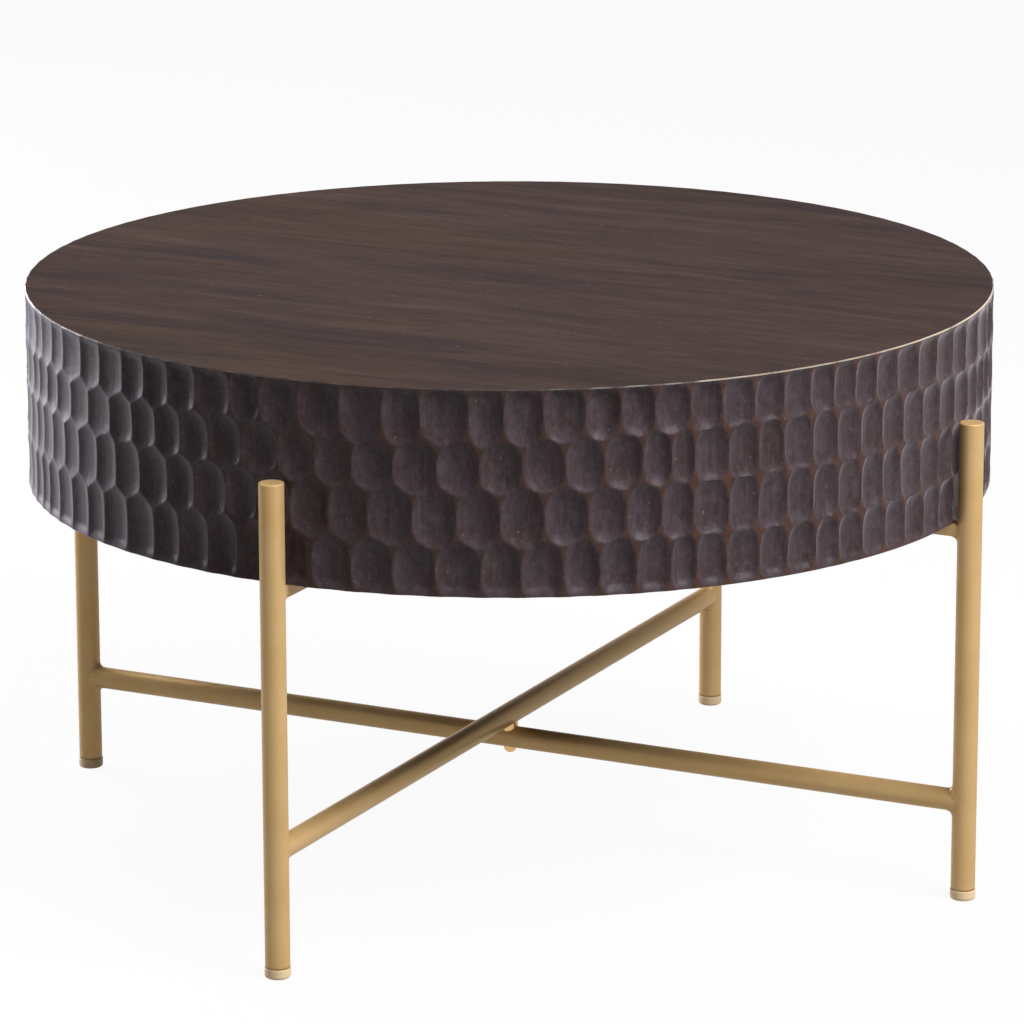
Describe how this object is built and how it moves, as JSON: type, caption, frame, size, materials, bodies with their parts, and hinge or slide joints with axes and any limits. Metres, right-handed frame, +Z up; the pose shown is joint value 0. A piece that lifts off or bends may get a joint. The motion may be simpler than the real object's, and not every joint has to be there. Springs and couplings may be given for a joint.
{
  "type": "drum coffee table",
  "caption": "Low round table: thick carved wood drum with a flat top, held by slim upright legs outside it and a crossed low stretcher.",
  "frame": {"origin": "on the floor, under the centre of the drum", "axes": "+Z up, +X along the lower stretcher, +Y along the upper stretcher"},
  "size_m": [0.804, 0.804, 0.457],
  "materials": {
    "stained_wood": "dark stain under satin varnish",
    "carved_wood": "gouged scallops, near-black stain, satin",
    "raw_wood": "unfinished, planed",
    "gold_lacquer": "satin metallic gold lacquer on steel",
    "screw_steel": "zinc plated",
    "cream_plastic": "matte moulded"
  },
  "bodies": {
    "root": {"top_board_1": "stained_wood", "top_board_2": "stained_wood", "top_board_3": "stained_wood", "top_board_4": "stained_wood", "top_board_5": "stained_wood", "top_board_6": "stained_wood", "top_board_7": "stained_wood", "rim_segment_1": "carved_wood", "rim_segment_2": "carved_wood", "rim_segment_3": "carved_wood", "rim_segment_4": "carved_wood", "rim_segment_5": "carved_wood", "rim_segment_6": "carved_wood", "rim_segment_7": "carved_wood", "rim_segment_8": "carved_wood", "top_batten_left": "raw_wood", "top_batten_right": "raw_wood", "batten_screws": "screw_steel", "arm_screws": "screw_steel", "corner_block_right": "raw_wood", "leg_right": "gold_lacquer", "leg_cap_right": "gold_lacquer", "foot_glide_right": "cream_plastic", "support_arm_right": "gold_lacquer", "arm_weld_right": "gold_lacquer", "stretcher_weld_right": "gold_lacquer", "corner_block_back": "raw_wood", "leg_back": "gold_lacquer", "leg_cap_back": "gold_lacquer", "foot_glide_back": "cream_plastic", "support_arm_back": "gold_lacquer", "arm_weld_back": "gold_lacquer", "stretcher_weld_back": "gold_lacquer", "corner_block_left": "raw_wood", "leg_left": "gold_lacquer", "leg_cap_left": "gold_lacquer", "foot_glide_left": "cream_plastic", "support_arm_left": "gold_lacquer", "arm_weld_left": "gold_lacquer", "stretcher_weld_left": "gold_lacquer", "corner_block_front": "raw_wood", "leg_front": "gold_lacquer", "leg_cap_front": "gold_lacquer", "foot_glide_front": "cream_plastic", "support_arm_front": "gold_lacquer", "arm_weld_front": "gold_lacquer", "stretcher_weld_front": "gold_lacquer", "lower_stretcher": "gold_lacquer", "upper_stretcher": "gold_lacquer", "centre_collar": "gold_lacquer", "centre_bolt": "gold_lacquer", "rivet_nut": "screw_steel"}
  },
  "joints": []
}
